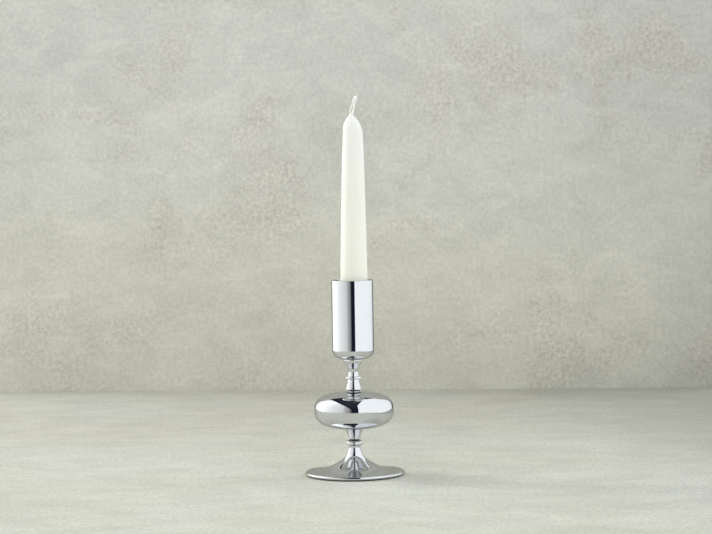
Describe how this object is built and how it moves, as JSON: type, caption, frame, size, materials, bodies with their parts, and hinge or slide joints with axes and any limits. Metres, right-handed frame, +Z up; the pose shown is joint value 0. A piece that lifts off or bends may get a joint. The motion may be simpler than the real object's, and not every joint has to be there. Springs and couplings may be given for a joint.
{
  "type": "candlestick",
  "caption": "Polished silver candlestick with a round foot, turned stem, flattened bulb and tall open cup, holding an ivory taper candle that lifts out.",
  "frame": {"origin": "centre of the felt pad's underside, on the table", "axes": "+Z up along the stem, +X to the side that the wick and the candle lean to, -Y the front"},
  "size_m": [0.08, 0.08, 0.3044],
  "materials": {
    "polished_silver": "mirror polished plating",
    "socket_metal": "turned and plated, satin",
    "fastener_steel": "zinc plated",
    "cast_iron": "as cast",
    "felt": "pressed wool felt",
    "candle_wax": "satin ivory wax",
    "wick_cotton": "braided cotton dipped in wax"
  },
  "bodies": {
    "candlestick": {"felt_pad": "felt", "foot_shell": "polished_silver", "base_weight": "cast_iron", "base_washer": "fastener_steel", "lock_washer": "fastener_steel", "base_nut": "fastener_steel", "tie_rod": "fastener_steel", "lower_collar": "polished_silver", "lower_neck": "polished_silver", "bulb_lower_shell": "polished_silver", "bulb_lower_washer": "fastener_steel", "bulb_spacer": "fastener_steel", "bulb_upper_washer": "fastener_steel", "bulb_upper_shell": "polished_silver", "upper_spool": "polished_silver", "upper_collar": "polished_silver", "upper_cone": "polished_silver", "cup_shell": "polished_silver", "cup_washer": "fastener_steel", "cup_nut": "fastener_steel", "candle_socket": "socket_metal"},
    "taper_candle": {"candle": "candle_wax", "wick": "wick_cotton"}
  },
  "joints": [
    {"name": "candle_lift", "type": "slide", "parent": "candlestick", "child": "taper_candle", "axis": [0, 0, 1], "range_m": [0, 0.06]}
  ]
}
